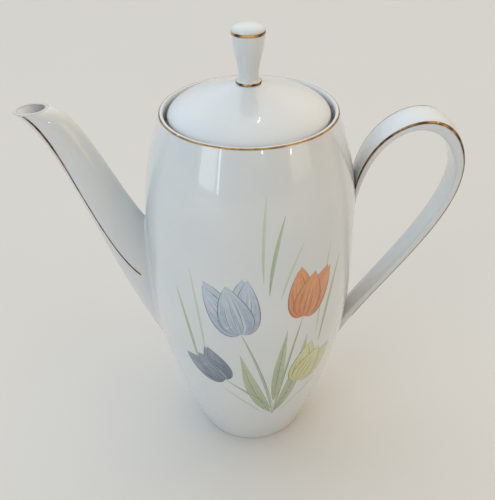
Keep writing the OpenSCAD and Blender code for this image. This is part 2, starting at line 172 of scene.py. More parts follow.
def arc(centre: Pair, radius: float, first: float, last: float, count: int) -> list[Pair]:
    """Points on an arc.

    Args:
        centre: Centre of the arc.
        radius: Its radius.
        first: First angle in degrees.
        last: Last angle in degrees.
        count: Number of steps.

    Returns:
        The points, both ends among them.
    """
    angles = [math.radians(first + (last - first) * i / count) for i in range(count + 1)]
    return [(centre[0] + radius * math.cos(a), centre[1] + radius * math.sin(a)) for a in angles]


# ---------------------------------------------------------------------------------------------------
# Modelling
# ---------------------------------------------------------------------------------------------------


def deselect_all() -> None:
    """Leaves object mode with nothing selected."""
    if bpy.context.object and bpy.context.object.mode != "OBJECT":
        bpy.ops.object.mode_set(mode="OBJECT")
    bpy.ops.object.select_all(action="DESELECT")


def pick(piece: bpy.types.Object) -> None:
    """Makes a piece the only one selected, and active.

    Args:
        piece: The piece.
    """
    deselect_all()
    piece.select_set(True)
    bpy.context.view_layer.objects.active = piece


def joined(pieces: Sequence[bpy.types.Object]) -> bpy.types.Object:
    """Joins pieces into one mesh.

    Args:
        pieces: The pieces.

    Returns:
        The joined piece.
    """
    deselect_all()
    for piece in pieces:
        piece.select_set(True)
    bpy.context.view_layer.objects.active = pieces[0]
    bpy.ops.object.join()
    return bpy.context.object


def finished(piece: bpy.types.Object, name: str, smooth_angle: float = 180.0) -> bpy.types.Object:
    """Names a piece, applies its place and shades it smooth.

    Args:
        piece: The piece.
        name: Its name.
        smooth_angle: Edges sharper than this many degrees stay sharp.

    Returns:
        The piece.
    """
    pick(piece)
    bpy.ops.object.transform_apply(location=True, rotation=True, scale=True)
    if smooth_angle < 180:
        bpy.ops.object.shade_smooth_by_angle(angle=math.radians(smooth_angle))
    else:
        bpy.ops.object.shade_smooth()
    piece.name = name
    piece.data.name = name
    deselect_all()
    return piece


def apply_modifier(piece: bpy.types.Object, kind: str, **settings: object) -> None:
    """Adds a modifier to a piece and applies it.

    Args:
        piece: The piece.
        kind: Type of the modifier.
        settings: Its settings by name.
    """
    pick(piece)
    modifier = piece.modifiers.new(kind.title(), kind)
    for key, value in settings.items():
        setattr(modifier, key, value)
    bpy.ops.object.modifier_apply(modifier=modifier.name)


def turned(name: str, outline: Sequence[Pair], segments: int, smooth_angle: float) -> bpy.types.Object:
    """Turns an outline round the pot's axis, as on a potter's wheel.

    Args:
        name: Name of the piece.
        outline: Radius and height of each point, in mm, from axis to axis.
        segments: Number of steps in the full turn.
        smooth_angle: Edges sharper than this many degrees stay sharp.

    Returns:
        The turned piece, closed, with its faces outwards.
    """
    deselect_all()
    start = Vector((outline[0][0], 0, outline[0][1])) * MM
    bpy.ops.mesh.primitive_plane_add(size=MM, location=(0, 0, 0))
    piece = bpy.context.object
    bpy.ops.object.mode_set(mode="EDIT")
    bpy.ops.mesh.select_all(action="SELECT")
    bpy.ops.mesh.merge(type="CENTER")
    bpy.ops.transform.translate(value=start)
    for (r0, z0), (r1, z1) in zip(outline, outline[1:]):
        step = ((r1 - r0) * MM, 0, (z1 - z0) * MM)
        bpy.ops.mesh.extrude_vertices_move(TRANSFORM_OT_translate={"value": step})
    bpy.ops.mesh.select_all(action="SELECT")
    bpy.ops.mesh.spin(
        steps=segments, angle=2 * math.pi, center=(0, 0, 0), axis=(0, 0, 1), use_auto_merge=True
    )
    bpy.ops.mesh.select_all(action="SELECT")
    bpy.ops.mesh.remove_doubles(threshold=2e-6)
    bpy.ops.mesh.normals_make_consistent(inside=False)
    bpy.ops.object.mode_set(mode="OBJECT")
    return finished(piece, name, smooth_angle)


def refined(source: bpy.types.Object, name: str, levels: int) -> bpy.types.Object:
    """Smooths a faceted solid of the frame, in a copy whose loose triangles are merged into quads first.

    Args:
        source: The solid.
        name: Name of the new piece.
        levels: Levels of subdivision.

    Returns:
        The new piece.
    """
    piece = source.copy()
    piece.data = source.data.copy()
    piece.parent = None
    for key in [k for k in piece.keys() if k.startswith("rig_")]:
        del piece[key]
    piece.data.materials.clear()
    bpy.context.scene.collection.objects.link(piece)
    pick(piece)
    if piece.data.has_custom_normals:
        bpy.ops.mesh.customdata_custom_splitnormals_clear()
    bpy.ops.object.mode_set(mode="EDIT")
    bpy.ops.mesh.select_all(action="SELECT")
    bpy.ops.mesh.remove_doubles(threshold=1e-6)
    bpy.ops.mesh.tris_convert_to_quads(face_threshold=QUAD_ANGLE, shape_threshold=QUAD_ANGLE)
    bpy.ops.mesh.normals_make_consistent(inside=False)
    bpy.ops.object.mode_set(mode="OBJECT")
    if levels:
        apply_modifier(piece, "SUBSURF", levels=levels, render_levels=levels)
    return finished(piece, name)


# ---------------------------------------------------------------------------------------------------
# Finishes
# ---------------------------------------------------------------------------------------------------


class Easing(Enum):
    """How a mapped value runs from one end of its range to the other."""

    EVEN = "LINEAR"
    SOFT = "SMOOTHSTEP"


class Sheet:
    """A sheet of shading nodes, of a material or of the world."""

    def __init__(self, tree: bpy.types.NodeTree) -> None:
        """Starts on a node tree."""
        self.tree = tree

    def node(self, kind: str, **values: object) -> bpy.types.Node:
        """Adds a node.

        Args:
            kind: Type of the node, without its ShaderNode prefix.
            values: Settings of the node by name, or of its sockets, with _ for a space.

        Returns:
            The node.
        """
        node = self.tree.nodes.new("ShaderNode" + kind)
        for key, value in values.items():
            if hasattr(node, key):
                setattr(node, key, value)
            else:
                node.inputs[key.replace("_", " ")].default_value = value
        return node

    def feed(self, socket: Socket, value: Value) -> None:
        """Gives a socket a plain number or colour, or joins another socket to it.

        Args:
            socket: The socket that takes the value.
            value: The number, the colour or the other socket.
        """
        if isinstance(value, tuple):
            socket.default_value = (*value, 1)
        elif isinstance(value, float):
            socket.default_value = value
        else:
            self.tree.links.new(value, socket)

    def mapped(
        self,
        value: Socket,
        low: float,
        high: float,
        first: float = 0.0,
        last: float = 1.0,
        easing: Easing = Easing.EVEN,
    ) -> Socket:
        """Maps a value from one range to another.

        Args:
            value: The value.
            low: Where it is at its lowest.
            high: Where it is at its highest.
            first: The result at the lowest.
            last: The result at the highest.
            easing: How the result runs between them.

        Returns:
            The mapped value.
        """
        node = self.node("MapRange", interpolation_type=easing.value)
        for key, number in (("From Min", low), ("From Max", high), ("To Min", first), ("To Max", last)):
            node.inputs[key].default_value = number
        self.feed(node.inputs["Value"], value)
        return node.outputs["Result"]

    def mixed(self, share: Socket, first: Value, second: Value) -> Socket:
        """Mixes two colours.

        Args:
            share: Share of the second colour.
            first: The first colour.
            second: The second colour.

        Returns:
            The mixed colour.
        """
        node = self.node("Mix", data_type="RGBA")
        self.feed(node.inputs["Factor"], share)
        self.feed(node.inputs[MIX_FIRST], first)
        self.feed(node.inputs[MIX_SECOND], second)
        return node.outputs[MIX_RESULT]

    def tinted(self, colour: Socket, tint: Socket) -> Socket:
        """Multiplies a colour by another.

        Args:
            colour: The colour.
            tint: The other colour.

        Returns:
            The tinted colour.
        """
        node = self.node("Mix", data_type="RGBA", blend_type="MULTIPLY", Factor=1.0)
        self.feed(node.inputs[MIX_FIRST], colour)
        self.feed(node.inputs[MIX_SECOND], tint)
        return node.outputs[MIX_RESULT]

    def computed(self, operation: str, *values: Value) -> Socket:
        """Computes a number.

        Args:
            operation: Name of the operation.
            values: The numbers that it takes.

        Returns:
            The result.
        """
        node = self.node("Math", operation=operation)
        for socket, value in zip(node.inputs, values):
            self.feed(socket, value)
        return node.outputs[0]


class FinishSheet(Sheet):
    """The node sheet of a finish: a material with one shader."""

    def __init__(self, name: str, **shader: object) -> None:
        """Starts the finish.

        Args:
            name: Name of the material.
            shader: Values of the shader's own sockets, with _ for a space.
        """
        self.material = bpy.data.materials.new(name)
        self.material.use_nodes = True
        super().__init__(self.material.node_tree)
        self.shader = self.tree.nodes["Principled BSDF"]
        for key, value in shader.items():
            self.shader.inputs[key.replace("_", " ")].default_value = value

    def drive(self, name: str, value: Socket) -> None:
        """Joins a value to the shader's socket of that name."""
        self.feed(self.shader.inputs[name], value)

    def noise(self, scale: float, detail: float = 2.0, where: Socket | None = None) -> Socket:
        """Adds a noise on the object's own coordinates.

        Args:
            scale: Its scale per metre.
            detail: Its detail.
            where: Coordinates to use instead.

        Returns:
            The noise's value.
        """
        node = self.node("TexNoise", Scale=scale, Detail=detail, Roughness=0.55)
        self.feed(node.inputs["Vector"], where or self.node("TexCoord").outputs["Object"])
        return node.outputs["Fac"]

    def bump(self, height: Socket, strength: float, distance: float) -> None:
        """Gives the shader a bump.

        Args:
            height: Height of the surface.
            strength: Strength of the bump.
            distance: Height in metres that a value of 1 stands for.
        """
        node = self.node("Bump", Strength=strength, Distance=distance)
        self.feed(node.inputs["Height"], height)
        self.drive("Normal", node.outputs["Normal"])


@dataclass(frozen=True)
class Glaze:
    """Clear, hard glaze over fine white porcelain.

    It has faint clouds of colour. It is cooler where it has pooled in a hollow and thinner and warmer over
    an edge, which hollow and edge give as spans of the surface's pointiness.
    """

    body: Colour = (0.665, 0.668, 0.662)
    pooled: Colour = (0.605, 0.628, 0.635)
    thin: Colour = (0.71, 0.695, 0.655)
    clouds: float = 22.0
    cloud_span: Pair = (0.35, 0.65)
    cloud_share: float = 0.7
    hollow: Pair = (0.495, 0.46)
    edge: Pair = (0.52, 0.58)
    ior: float = 1.5
    gloss: float = 0.035
    mottle: float = 140.0
    roughness: Pair = (0.17, 0.25)
    glow: float = 0.08
    glow_depth: float = 0.003
    ripples: float = 85.0
    ripple_strength: float = 0.15
    ripple_height: float = 0.000008

    def material(self) -> bpy.types.Material:
        """Builds the glaze.

        Returns:
            The material.
        """
        sheet = FinishSheet(
            "glazed_porcelain",
            Coat_Weight=1.0,
            Coat_Roughness=self.gloss,
            Coat_IOR=self.ior,
            IOR=self.ior,
            Subsurface_Weight=self.glow,
            Subsurface_Scale=self.glow_depth,
        )
        clouds = sheet.mapped(sheet.noise(self.clouds, 3.0), *self.cloud_span, 0.0, self.cloud_share)
        bend = sheet.node("NewGeometry").outputs["Pointiness"]
        clouded = sheet.mixed(clouds, self.body, self.pooled)
        pooled = sheet.mixed(sheet.mapped(bend, *self.hollow), clouded, self.pooled)
        sheet.drive("Base Color", sheet.mixed(sheet.mapped(bend, *self.edge), pooled, self.thin))
        sheet.drive("Roughness", sheet.mapped(sheet.noise(self.mottle, 3.0), *NOISE_SPAN, *self.roughness))
        sheet.bump(sheet.noise(self.ripples, 1.0), self.ripple_strength, self.ripple_height)
        return sheet.material


@dataclass(frozen=True)
class Bisque:
    """Unglazed porcelain: ground at the foot, with spots of stain, and painted shade on the lid's seat."""

    name: str = "unglazed_foot"
    ware_and_shade: Colour = (0.62, 0.60, 0.55)
    stain_and_shade: Colour = (0.40, 0.35, 0.28)
    blotches: float = 260.0
    blotch_span: Pair = (0.45, 0.75)
    mottle: float = 900.0
    roughness: Pair = (0.6, 0.85)
    grit: float = 2200.0
    grit_height: float = 0.00006

    def material(self) -> bpy.types.Material:
        """Builds the dry, gritty ware: blotches of stain at the foot, of deeper painted shade on the seat.

        Returns:
            The material.
        """
        sheet = FinishSheet(self.name, IOR=1.45)
        blotches = sheet.mapped(sheet.noise(self.blotches, 5.0), *self.blotch_span)
        sheet.drive("Base Color", sheet.mixed(blotches, self.ware_and_shade, self.stain_and_shade))
        sheet.drive("Roughness", sheet.mapped(sheet.noise(self.mottle), *NOISE_SPAN, *self.roughness))
        sheet.bump(sheet.noise(self.grit, 3.0), 0.5, self.grit_height)
        return sheet.material


@dataclass(frozen=True)
class Gilding:
    """Gold, brushed on and fired, rubbed to a duller colour in places and worn through here and there.

    rub_and_glint_span is the span of the noise over which it turns from bright to dull_and_dark_reflection:
    rubbed gold, and in the mirror and brushed finishes also painted reflection, the darker patches a
    painted dark room in the gold and the brighter ones painted glints. The glaze starts to show where the
    noise of its patches passes wear, and shows fully past wear + fade.
    """

    name: str = "burnished_gilding"
    bright: Colour = (0.47, 0.29, 0.125)
    dull_and_dark_reflection: Colour = (0.23, 0.13, 0.058)
    bare: Colour = (0.63, 0.62, 0.59)
    wear: float = 0.70
    fade: float = 0.05
    patches: float = 330.0
    rubbing_and_glints: float = 180.0
    rub_and_glint_span: Pair = (0.42, 0.68)
    mottle: float = 420.0
    roughness: Pair = (0.09, 0.26)
    marks: float = 1500.0
    mark_height: float = 0.00003

    def material(self) -> bpy.types.Material:
        """Builds the gold with brush marks, worn spots and rubbed places that are partly painted reflection.

        Returns:
            The material.
        """
        sheet = FinishSheet(self.name)
        # Rubbed patches; in the mirror and brushed finishes also painted glints and painted dark reflection.
        gold = sheet.mixed(sheet.mapped(sheet.noise(self.rubbing_and_glints, 4.0), *self.rub_and_glint_span), self.bright, self.dull_and_dark_reflection)
        worn = sheet.mapped(sheet.noise(self.patches, 3.0), self.wear, self.wear + self.fade)
        sheet.drive("Base Color", sheet.mixed(worn, gold, self.bare))
        sheet.drive("Metallic", sheet.mapped(worn, 0.0, 1.0, 1.0, 0.0))
        sheet.drive("Roughness", sheet.mapped(sheet.noise(self.mottle, 3.0), *NOISE_SPAN, *self.roughness))
        sheet.bump(sheet.noise(self.marks, 2.0), 0.25, self.mark_height)
        return sheet.material


class Pigment(Enum):
    """The inks of the printed spray."""

    ORANGE = "orange"
    PALE_BLUE = "pale_blue"
    DEEP_BLUE = "deep_blue"
    YELLOW_GREEN = "yellow_green"
    SAGE = "sage"
    PALE_SAGE = "pale_sage"
    LINE = "line"


@dataclass(frozen=True)
class Ink:
    """One colour of the printed spray, under the same gloss as the glaze.

    It shades from root to tip, with the dry streaks of a brush along the petal, a darker edge where the wash
    has gathered, and the grain of a transfer print.
    """

    pigment: Pigment
    root: Colour
    tip: Colour
    dry: Colour
    streaks: float
    dryness: float
    edge: float
    streak_length: float = 1.3
    streak_span: Pair = (0.44, 0.68)
    grain: float = 300.0
    grain_share: float = 0.8
    shading: Pair = (0.3, 1.25)
    edge_span: Pair = (0.38, 0.5)
    roughness: Pair = (0.16, 0.28)

    def material(self) -> bpy.types.Material:
        """Builds the ink on the petal's own map, which runs across in U and from root to tip in V.

        Returns:
            The material.
        """
        sheet = FinishSheet("print_" + self.pigment.value, Coat_Weight=1.0, Coat_Roughness=0.05, IOR=1.5)
        petal = sheet.node("TexCoord").outputs["UV"]
        apart = sheet.node("SeparateXYZ")
        sheet.feed(apart.inputs["Vector"], petal)
        grain = sheet.noise(self.grain, 3.0)
        along = sheet.computed("MULTIPLY_ADD", grain, self.grain_share, apart.outputs["Y"])
        shade = sheet.mixed(sheet.mapped(along, *self.shading), self.root, self.tip)
        drawn = sheet.node("Mapping", Scale=(self.streaks, self.streak_length, 1.0))
        sheet.feed(drawn.inputs["Vector"], petal)
        brushed = sheet.noise(1.0, 4.0, drawn.outputs["Vector"])
        dried = sheet.mixed(sheet.mapped(brushed, *self.streak_span, 0.0, self.dryness), shade, self.dry)
        out = sheet.computed("ABSOLUTE", sheet.computed("SUBTRACT", apart.outputs["X"], 0.5))
        gathered = sheet.mapped(out, *self.edge_span, 0.0, self.edge)
        sheet.drive("Base Color", sheet.mixed(gathered, dried, self.root))
        sheet.drive("Roughness", sheet.mapped(grain, *NOISE_SPAN, *self.roughness))
        return sheet.material


# The lid's seat: both colours are painted shade, standing for the shadow in the gap under the lid's edge.
SHADED_SEAT = Bisque("painted_shade_seat", (0.34, 0.32, 0.28), (0.13, 0.11, 0.09))
# The knob bands: bright patches are painted glints and near-black ones a painted dark reflection.
MIRROR_GOLD = Gilding("mirror_gilding", (0.74, 0.47, 0.19), (0.075, 0.04, 0.02), wear=0.76, rub_and_glint_span=(0.40, 0.54))
# The lines: their dark brown is partly painted dark reflection, with painted glints in brighter patches.
BRUSHED_GOLD = Gilding(
    "brushed_gilding", (0.40, 0.23, 0.09), (0.085, 0.045, 0.022), wear=0.72, rub_and_glint_span=(0.36, 0.62)
)
RUBBED_GOLD = Gilding(
    "rubbed_gilding", (0.60, 0.50, 0.36), (0.50, 0.40, 0.27), wear=0.12, fade=0.5, patches=120.0
)
INKS = (
    Ink(Pigment.ORANGE, (0.46, 0.12, 0.03), (0.66, 0.25, 0.075), (0.72, 0.42, 0.22), 10.0, 0.75, 0.35),
    Ink(Pigment.PALE_BLUE, (0.22, 0.28, 0.36), (0.43, 0.50, 0.58), (0.62, 0.65, 0.67), 12.0, 0.85, 0.45),
    Ink(Pigment.DEEP_BLUE, (0.045, 0.06, 0.09), (0.17, 0.22, 0.29), (0.42, 0.48, 0.54), 12.0, 0.7, 0.45),
    Ink(Pigment.YELLOW_GREEN, (0.43, 0.42, 0.13), (0.58, 0.57, 0.26), (0.66, 0.67, 0.47), 10.0, 0.75, 0.35),
    Ink(Pigment.SAGE, (0.25, 0.31, 0.17), (0.42, 0.47, 0.30), (0.56, 0.59, 0.47), 6.0, 0.5, 0.25),
    Ink(Pigment.PALE_SAGE, (0.42, 0.47, 0.33), (0.54, 0.58, 0.46), (0.62, 0.65, 0.58), 6.0, 0.6, 0.2),
    Ink(Pigment.LINE, (0.07, 0.065, 0.06), (0.15, 0.14, 0.13), (0.26, 0.25, 0.24), 3.0, 0.35, 0.0),
)


# ---------------------------------------------------------------------------------------------------
# Turned pieces
# ---------------------------------------------------------------------------------------------------


class Coat(Enum):
    """What covers a face of the body, by the place of its material in the slots."""

    GLAZED = 0
    GROUND = 1
    # The ledge under the lid, which takes painted shade.
    PAINTED_SHADE = 2


@dataclass
class Vessel:
    """The barrel-shaped body, with its foot ring, the gallery inside its rim and the strainer."""

    height: float = 207.7
    rim_radius: float = 46.0
    belly_radius: float = 57.5
    belly_height: float = 127.2
    foot_radius: float = 31.2
    foot_lean: float = 22.4
    foot_reach: float = 66.8
    belly_drop: float = 28.8
    belly_rise: float = 33.7
    rim_lean: float = 18.7
    rim_reach: float = 35.9
    wall: float = 3.2
    floor: float = 6.4
    floor_corner: Pair = (13.0, 6.0)
    corner_rise: Pair = (2.2, 5.2)
    foot_ring: float = 2.8
    foot_round_in: float = 0.5
    foot_round_out: float = 0.45
    foot_recess: float = 2.2
    recess_corner: Pair = (1.6, 0.4)
    rim_round: float = 1.4
    rim_inside: float = 3.0
    gilt_start: float = 3.0
    gilt_end: float = 62.0
    gilt_skin: float = 0.09
    gilt_sunk: float = 0.02
    ledge_drop: float = 5.6
    ledge_thickness: float = 3.8
    ledge_corner: float = 0.5
    mouth_radius: float = 38.2
    mouth_round: float = 0.6
    mouth_depth: float = 2.2
    shoulder_rise: Pair = (1.6, 4.6)
    shoulder_reach: Pair = (5.0, 2.6)
    strainer_radius: float = 2.4
    strainer_low: float = 84.0
    strainer_pitch: float = 8.0
    strainer_offset: float = 3.5
    strainer_rows: int = 6
    drill_length: float = 14.0
    drill_inset: float = 3.0
    drill_sides: int = 28
    bare_height: float = 0.32
    # How far above and below the ledge its painted shade reaches.
    painted_shade_band: float = 0.9
    segments: int = 176
    sharp: float = 50.0

    def lower(self) -> Curve:
        """Outside of the wall from the foot to the belly."""
        lean = math.radians(self.foot_lean)
        return Curve(
            (self.foot_radius, 0.0),
            (self.foot_radius + self.foot_reach * math.sin(lean), self.foot_reach * math.cos(lean)),
            (self.belly_radius, self.belly_height - self.belly_drop),
            (self.belly_radius, self.belly_height),
        )

    def upper(self) -> Curve:
        """Outside of the wall from the belly to the rim."""
        lean = math.radians(self.rim_lean)
        return Curve(
            (self.belly_radius, self.belly_height),
            (self.belly_radius, self.belly_height + self.belly_rise),
            (
                self.rim_radius + self.rim_reach * math.sin(lean),
                self.height - self.rim_reach * math.cos(lean),
            ),
            (self.rim_radius, self.height),
        )

    def rim_centre(self) -> Pair:
        """Centre of the rounding over the rim."""
        lean, reach = math.radians(self.rim_lean), self.rim_round
        return self.rim_radius - reach * math.cos(lean), self.height - reach * math.sin(lean)

    def gallery(self) -> float:
        """Radius of the gallery's wall, inside the rim."""
        return self.rim_centre()[0] - self.rim_round

    def ledge(self) -> float:
        """Height of the ledge that carries the lid."""
        return self.height - self.ledge_drop

    def radius(self, z: float) -> float:
        """Outer radius of the wall.

        Args:
            z: Height above the table.

        Returns:
            The radius there.
        """
        curve = self.lower() if z < self.belly_height else self.upper()
        return curve.at(turning_place(lambda t: curve.at(t)[1] < z))[0]

    def underside(self) -> list[Pair]:
        """Section of the recess under the floor and of the foot ring.

        Returns:
            The points, from the axis outwards.
        """
        ring = self.foot_radius - self.foot_ring
        inner, outer = self.foot_round_in, self.foot_round_out
        edge = Curve(
            (ring - self.recess_corner[0], self.foot_recess),
            (ring - self.recess_corner[1], self.foot_recess),
            (ring, 1.2),
            (ring, inner + 0.05),
        )
        return [
            (0.0, self.foot_recess),
            (ring * 0.55, self.foot_recess),
            *edge.run(6),
            *arc((ring + inner, inner), inner, 180, 270, 5),
            *arc((self.foot_radius - outer, outer), outer, 270, 337, 6),
        ]

    def rim(self) -> list[Pair]:
        """Section of the rim, rounded outside and in a longer sweep inside.

        Returns:
            The points, from the outside to the gallery's wall.
        """
        x, z = self.rim_centre()
        top = z + self.rim_round
        steps = 12
        angles = [math.radians(90 + 90 * i / steps) for i in range(1, steps + 1)]
        return [
            *arc((x, z), self.rim_round, self.rim_lean + 4, 90, 9),
            *[(x + self.rim_round * math.cos(a), top - self.rim_inside * (1 - math.sin(a))) for a in angles],
        ]

    def seat(self) -> list[Pair]:
        """Section of the ledge and the mouth below it.

        Returns:
            The points, from the gallery's wall to the mouth's lower edge.
        """
        corner, edge = self.ledge_corner, self.mouth_round
        return [
            (self.gallery(), self.ledge() + corner),
            *arc((self.gallery() - corner, self.ledge() + corner), corner, 0, -90, 4),
            *arc((self.mouth_radius + edge, self.ledge() - edge), edge, 90, 180, 5),
            (self.mouth_radius, self.ledge() - self.mouth_depth),
        ]

    def inside(self) -> list[Pair]:
        """Section of the shoulder under the ledge, the inner wall and the floor.

        Returns:
            The points, from the mouth to the axis.
        """
        high = self.upper().run(36, -self.wall, 0.02, 0.8)
        low = self.lower().run(40, -self.wall, 0.1, 1.0)
        top, foot = high[-1], low[0]
        under = (self.mouth_radius, self.ledge() - self.ledge_thickness)
        shoulder = Curve(
            top,
            (top[0] - self.shoulder_rise[0], top[1] + self.shoulder_rise[1]),
            (under[0] + self.shoulder_reach[0], under[1] - self.shoulder_reach[1]),
            under,
        )
        corner = Curve(
            (foot[0] - self.floor_corner[0], self.floor),
            (foot[0] - self.floor_corner[1], self.floor),
            (foot[0] - self.corner_rise[0], foot[1] - self.corner_rise[1]),
            foot,
        )
        return [
            *shoulder.run(10)[::-1],
            *high[-2::-1],
            *low[::-1],
            *corner.run(10)[-2::-1],
            (foot[0] * 0.25, self.floor),
            (0.0, self.floor),
        ]

    def outline(self) -> list[Pair]:
        """The whole section of the body.

        Returns:
            The points, from the axis under the floor to the axis over it.
        """
        return [
            *self.underside(),
            *self.lower().run(64, 0.0, 0.012, 1.0),
            *self.upper().run(60, 0.0, 0.016, 0.996),
            *self.rim(),
            *self.seat(),
            *self.inside(),
        ]

    def strain(self, piece: bpy.types.Object) -> None:
        """Drills the strainer's holes through the wall behind the spout, two and one to a row in turn.

        Args:
            piece: The turned body.
        """
        drills = []
        for row in range(self.strainer_rows):
            z = self.strainer_low + row * self.strainer_pitch
            for y in (-self.strainer_offset, self.strainer_offset) if row % 2 == 0 else (0.0,):
                deselect_all()
                bpy.ops.mesh.primitive_cylinder_add(
                    vertices=self.drill_sides,
                    radius=self.strainer_radius * MM,
                    depth=self.drill_length * MM,
                    location=(-(self.belly_radius - self.drill_inset) * MM, y * MM, z * MM),
                    rotation=(0, math.pi / 2, 0),
                )
                drills.append(bpy.context.object)
        tool = joined(drills)
        apply_modifier(piece, "BOOLEAN", operation="DIFFERENCE", solver="EXACT", object=tool)
        bpy.data.objects.remove(tool, do_unlink=True)

    def gild(self, gold: bpy.types.Material) -> bpy.types.Object:
        """Lays the thin gilt band over the outer half of the rim.

        Args:
            gold: Material of the band.

        Returns:
            The band.
        """
        centre, first, last = self.rim_centre(), self.rim_lean + self.gilt_start, self.gilt_end
        skin = arc(centre, self.rim_round + self.gilt_skin, first, last, 8)
        under = arc(centre, self.rim_round + self.gilt_sunk, last, first, 8)
        piece = turned("gilt_rim", [*skin, *under, skin[0]], self.segments, 40)
        piece.data.materials.append(gold)
        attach(piece, Body.POT.value)
        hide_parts("rim_gilt")
        return piece

    def coat(self, place: Vector) -> Coat:
        """What covers a place on the body.

        Args:
            place: The place, in metres.

        Returns:
            Its coat.
        """
        if place.z < self.bare_height * MM:
            return Coat.GROUND
        # Faces at the ledge inside the gallery take the painted shade of the gap under the lid.
        level = abs(place.z - self.ledge() * MM) < self.painted_shade_band * MM
        inside = math.hypot(place.x, place.y) < (self.gallery() + 0.1) * MM
        return Coat.PAINTED_SHADE if level and inside else Coat.GLAZED

    def build(self, coats: dict[Coat, bpy.types.Material]) -> bpy.types.Object:
        """Turns, drills and dresses the body.

        Args:
            coats: Materials of the glazed ware, the ground foot ring and the ledge's painted shade.

        Returns:
            The body.
        """
        piece = turned("vessel", self.outline(), self.segments, self.sharp)
        self.strain(piece)
        pick(piece)
        bpy.ops.object.shade_smooth_by_angle(angle=math.radians(self.sharp))
        for coat in Coat:
            piece.data.materials.append(coats[coat])
        for face in piece.data.polygons:
            face.material_index = self.coat(face.center).value
        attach(piece, Body.POT.value)
        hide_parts("pot_body")
        return piece


@dataclass
class Lid:
    """The low domed lid, with its edge and the collar that drops into the mouth."""

    gap: float = 1.55
    seat_gap: float = 0.05
    edge: float = 4.7
    edge_round: float = 0.7
    edge_rise: Pair = (3.1, 7.4)
    rise: float = 20.3
    brow: Pair = (18.0, 5.0)
    wall: float = 3.0
    collar_gap: float = 0.8
    collar_depth: float = 11.5
    collar_wall: float = 2.8
    collar_round: float = 0.9
    knob_foot: float = 6.0
    segments: int = 160
    sharp: float = 50.0

    def radius(self, vessel: Vessel) -> float:
        """Outer radius of the lid inside a vessel's rim."""
        return vessel.gallery() - self.gap

    def outline(self, vessel: Vessel) -> list[Pair]:
        """The whole section of the lid.

        Args:
            vessel: The body that it closes.

        Returns:
            The points, from the axis under the dome to the axis over it.
        """
        seat = vessel.ledge() + self.seat_gap
        top = vessel.ledge() + self.rise
        brink = vessel.ledge() + self.edge
        out = self.radius(vessel)
        dome = Curve(
            (out, brink),
            (out - self.edge_rise[0], brink + self.edge_rise[1]),
            (self.brow[0], top - self.brow[1]),
            (self.knob_foot + 0.6, top),
        )
        collar_out = vessel.mouth_radius - self.collar_gap
        collar_in = collar_out - self.collar_wall
        low = seat - self.collar_depth
        bend = self.collar_round
        under = [p for p in dome.run(30, -self.wall) if p[0] < collar_in - 2]
        return [
            (0.0, top - self.wall),
            *under[::-1],
            (collar_in, seat - 1),
            (collar_in, low + bend + 0.3),
            *arc((collar_in + bend, low + bend), bend, 180, 270, 5),
            *arc((collar_out - bend, low + bend), bend, 270, 360, 5),
            (collar_out, seat - 0.3),
            (collar_out + 0.2, seat),
            *arc((out - self.edge_round, seat + self.edge_round), self.edge_round, 270, 360, 5),
            (out, seat + 2.2),
            (out, brink - 1.0),
            *dome.run(52),
            (0.0, top),
        ]

    def build(self, vessel: Vessel, glaze: bpy.types.Material) -> bpy.types.Object:
        """Turns and dresses the lid.

        Args:
            vessel: The body that it closes.
            glaze: Its material.

        Returns:
            The lid.
        """
        piece = turned("domed_lid", self.outline(vessel), self.segments, self.sharp)
        piece.data.materials.append(glaze)
        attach(piece, Body.LID.value)
        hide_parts("lid")
        return piece


@dataclass
class Knob:
    """The tall waisted knob, luted on the lid over a small bead."""

    height: float = 29.5
    radius: float = 8.4
    crown: float = 3.0
    crown_fullness: float = 0.83
    crown_steps: int = 18
    waist: float = 5.2
    waist_height: float = 5.8
    foot: float = 6.0
    bead: float = 0.55
    segments: int = 96
    sharp: float = 60.0

    def stem(self) -> list[Pair]:
        """Section of the stem: in from the bead to the waist and out to the brow.

        Returns:
            The points, upwards.
        """
        brow = self.height - self.crown
        waist = (self.waist, self.waist_height)
        sweep = Curve((self.foot - 0.2, 3 * self.bead), (self.foot - 0.75, 2.2), (self.waist, 3.7), waist)
        flare = Curve(waist, (self.waist + 0.35, 11.0), (self.radius - 0.1, brow - 9.4), (self.radius, brow))
        return [*sweep.run(10)[:-1], *flare.run(36)]

    def outline(self, seat: float) -> list[Pair]:
        """The whole section of the knob.

        Args:
            seat: Height of its seat on the lid.

        Returns:
            The points, from the axis under the foot to the axis over the top.
        """
        brow, full = self.height - self.crown, self.crown_fullness
        angles = [math.radians(90 * i / self.crown_steps) for i in range(1, self.crown_steps)]
        points = [
            (0.0, 0.0),
            (self.foot, 0.0),
            *arc((self.foot, 1.3 * self.bead), self.bead, -70, 70, 10),
            *self.stem(),
            *[(self.radius * math.cos(a) ** full, brow + self.crown * math.sin(a) ** full) for a in angles],
            (0.0, self.height),
        ]
        return [(r, seat + z) for r, z in points]

    def build(self, vessel: Vessel, lid: Lid, glaze: bpy.types.Material) -> bpy.types.Object:
        """Turns and dresses the knob.

        Args:
            vessel: The body under the lid.
            lid: The lid that carries it.
            glaze: Its material.

        Returns:
            The knob.
        """
        piece = turned("waisted_knob", self.outline(vessel.ledge() + lid.rise), self.segments, self.sharp)
        piece.data.materials.append(glaze)
        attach(piece, Body.LID.value)
        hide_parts("knob")
        return piece


# ---------------------------------------------------------------------------------------------------
# Spout, handle and gilding
# ---------------------------------------------------------------------------------------------------


